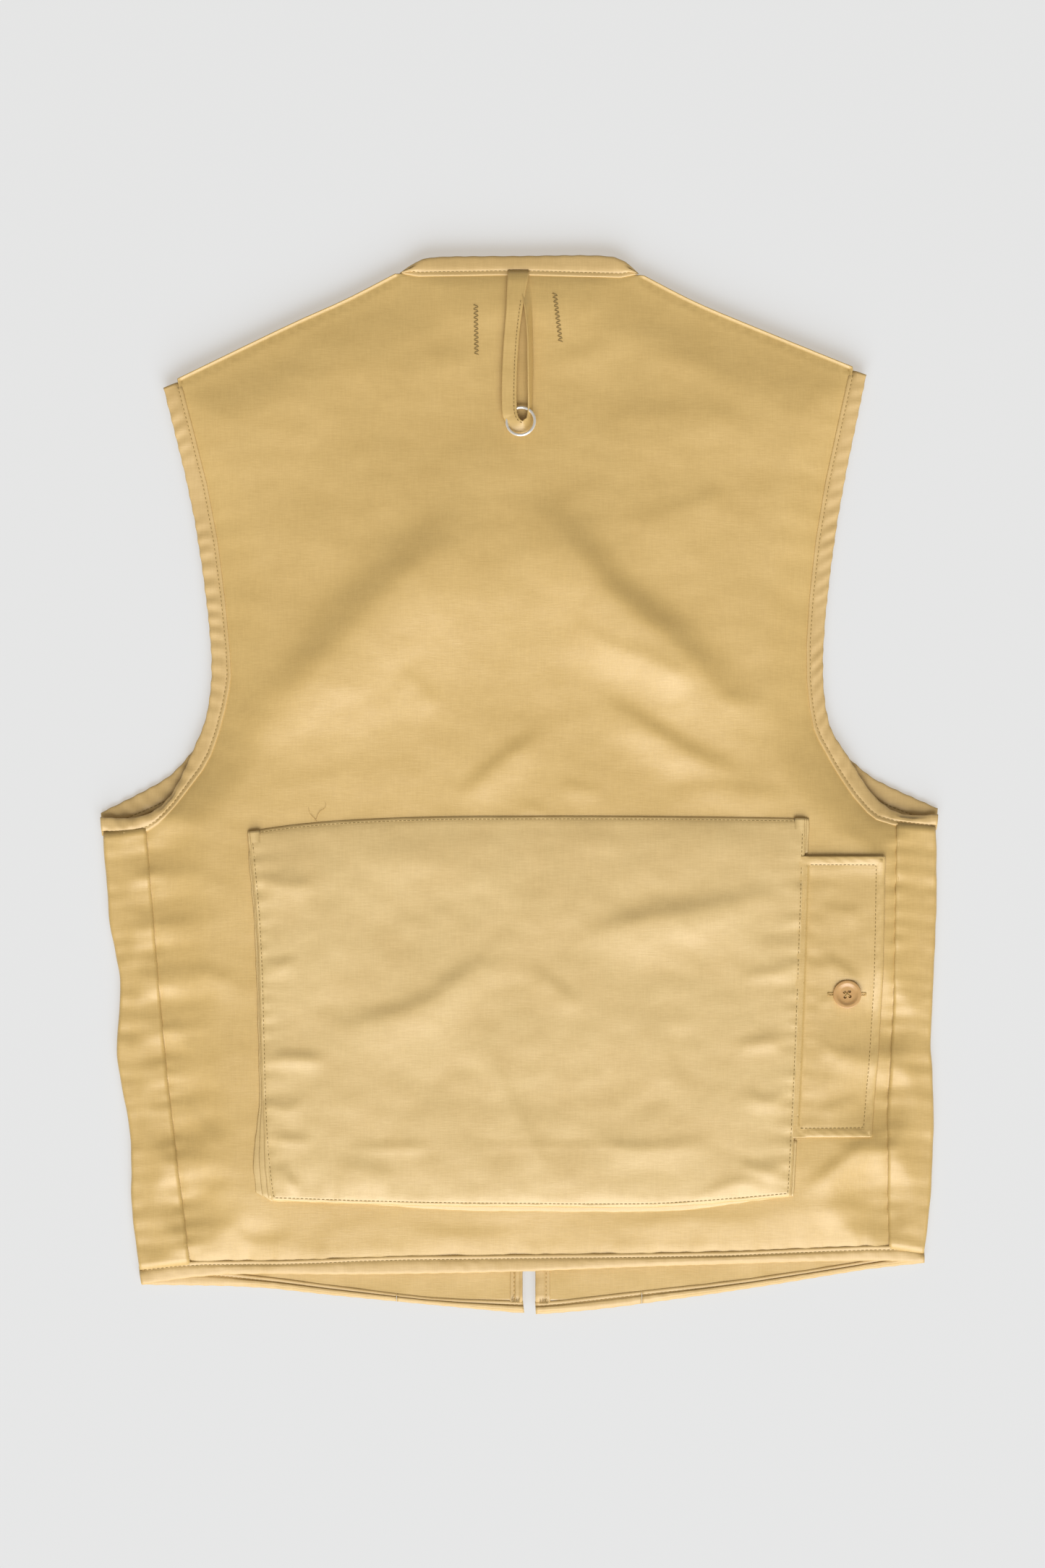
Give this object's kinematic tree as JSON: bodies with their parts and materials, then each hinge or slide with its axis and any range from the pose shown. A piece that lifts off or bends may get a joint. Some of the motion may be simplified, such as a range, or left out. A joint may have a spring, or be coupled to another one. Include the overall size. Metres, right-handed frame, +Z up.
{
  "type": "fishing vest",
  "caption": "Sleeveless fishing vest laid face down, with a bellows cargo pocket across the back, a side-entry button flap and a hanging loop with a ring.",
  "frame": {"origin": "under the middle of the vest's outline, on the surface it lies on", "axes": "+X to the wearer's right, +Y to the collar, +Z up out of the surface, the back uppermost"},
  "size_m": [0.581, 0.7341, 0.0263],
  "materials": {
    "body_cloth": "cotton sateen, beige",
    "pocket_cloth": "cotton sateen, beige",
    "flap_cloth": "cotton sateen, beige",
    "binding_tape": "bias cut sateen tape",
    "label_cloth": "plain woven label",
    "button_plastic": "satin moulded button",
    "ring_metal": "polished plated wire"
  },
  "bodies": {
    "vest": {"back_panel": "body_cloth", "neck_binding_back": "binding_tape", "hem_binding_back": "binding_tape", "label": "label_cloth", "side_panel_left": "body_cloth", "side_panel_right": "body_cloth", "armhole_binding_back_left": "binding_tape", "armhole_binding_front_left": "binding_tape", "armhole_binding_back_right": "binding_tape", "armhole_binding_front_right": "binding_tape", "front_panel_left": "body_cloth", "hem_binding_front_left": "binding_tape", "front_panel_right": "body_cloth", "hem_binding_front_right": "binding_tape", "cargo_pocket_face": "pocket_cloth", "cargo_gusset": "pocket_cloth", "chest_left_pocket": "pocket_cloth", "chest_left_button": "button_plastic", "chest_right_pocket": "pocket_cloth", "chest_right_button": "button_plastic", "lower_left_pocket": "pocket_cloth", "lower_left_button": "button_plastic", "lower_right_pocket": "pocket_cloth", "lower_right_button": "button_plastic"},
    "front_left": {"front_leaf_left": "body_cloth", "front_facing_left": "binding_tape", "neck_binding_left": "binding_tape", "leaf_hem_binding_left": "binding_tape"},
    "front_right": {"front_leaf_right": "body_cloth", "front_facing_right": "binding_tape", "neck_binding_right": "binding_tape", "leaf_hem_binding_right": "binding_tape", "closure_button_1": "button_plastic", "closure_button_2": "button_plastic", "closure_button_3": "button_plastic", "closure_button_4": "button_plastic"},
    "chest_left_flap": {"chest_left_flap": "flap_cloth"},
    "chest_right_flap": {"chest_right_flap": "flap_cloth"},
    "lower_left_flap": {"lower_left_flap": "flap_cloth"},
    "lower_right_flap": {"lower_right_flap": "flap_cloth"},
    "cargo_flap": {"cargo_flap": "flap_cloth"},
    "cargo_button": {"cargo_button": "button_plastic"},
    "hang_loop": {"hang_loop": "body_cloth"},
    "hang_ring": {"hang_ring": "ring_metal"}
  },
  "joints": [
    {"name": "front_left_opening", "type": "hinge", "parent": "vest", "child": "front_left", "pos_m": [-0.085, 0, 0.00895], "axis": [0, 1, 0], "range_deg": [0, 90]},
    {"name": "front_right_opening", "type": "hinge", "parent": "vest", "child": "front_right", "pos_m": [0.085, 0, 0.00895], "axis": [0, -1, 0], "range_deg": [0, 90]},
    {"name": "chest_left_flap_hinge", "type": "hinge", "parent": "vest", "child": "chest_left_flap", "pos_m": [-0.138, 0.176, 0.0085], "axis": [1, 0, 0], "range_deg": [0, 120]},
    {"name": "chest_right_flap_hinge", "type": "hinge", "parent": "vest", "child": "chest_right_flap", "pos_m": [0.137, 0.176, 0.0085], "axis": [1, 0, 0], "range_deg": [0, 120]},
    {"name": "lower_left_flap_hinge", "type": "hinge", "parent": "vest", "child": "lower_left_flap", "pos_m": [-0.157, -0.118, 0.0085], "axis": [1, 0, 0], "range_deg": [0, 120]},
    {"name": "lower_right_flap_hinge", "type": "hinge", "parent": "vest", "child": "lower_right_flap", "pos_m": [0.163, -0.118, 0.0085], "axis": [1, 0, 0], "range_deg": [0, 120]},
    {"name": "cargo_flap_hinge", "type": "hinge", "parent": "vest", "child": "cargo_flap", "pos_m": [0.1987, -0.14625, 0.0221], "axis": [0, -1, 0], "range_deg": [0, 120]},
    {"name": "cargo_button_twist", "type": "hinge", "parent": "vest", "child": "cargo_button", "pos_m": [0.2265, -0.1445, 0.0182], "axis": [0, 0, 1], "range_deg": [-25, 25]},
    {"name": "hang_loop_swing", "type": "hinge", "parent": "vest", "child": "hang_loop", "pos_m": [0.001, 0.3508, 0.0189], "axis": [-1, 0, 0], "range_deg": [0, 165]},
    {"name": "hang_ring_swing", "type": "hinge", "parent": "hang_loop", "child": "hang_ring", "pos_m": [0.001, 0.26075, 0.0217], "axis": [-1, 0, 0], "range_deg": [0, 90]}
  ]
}
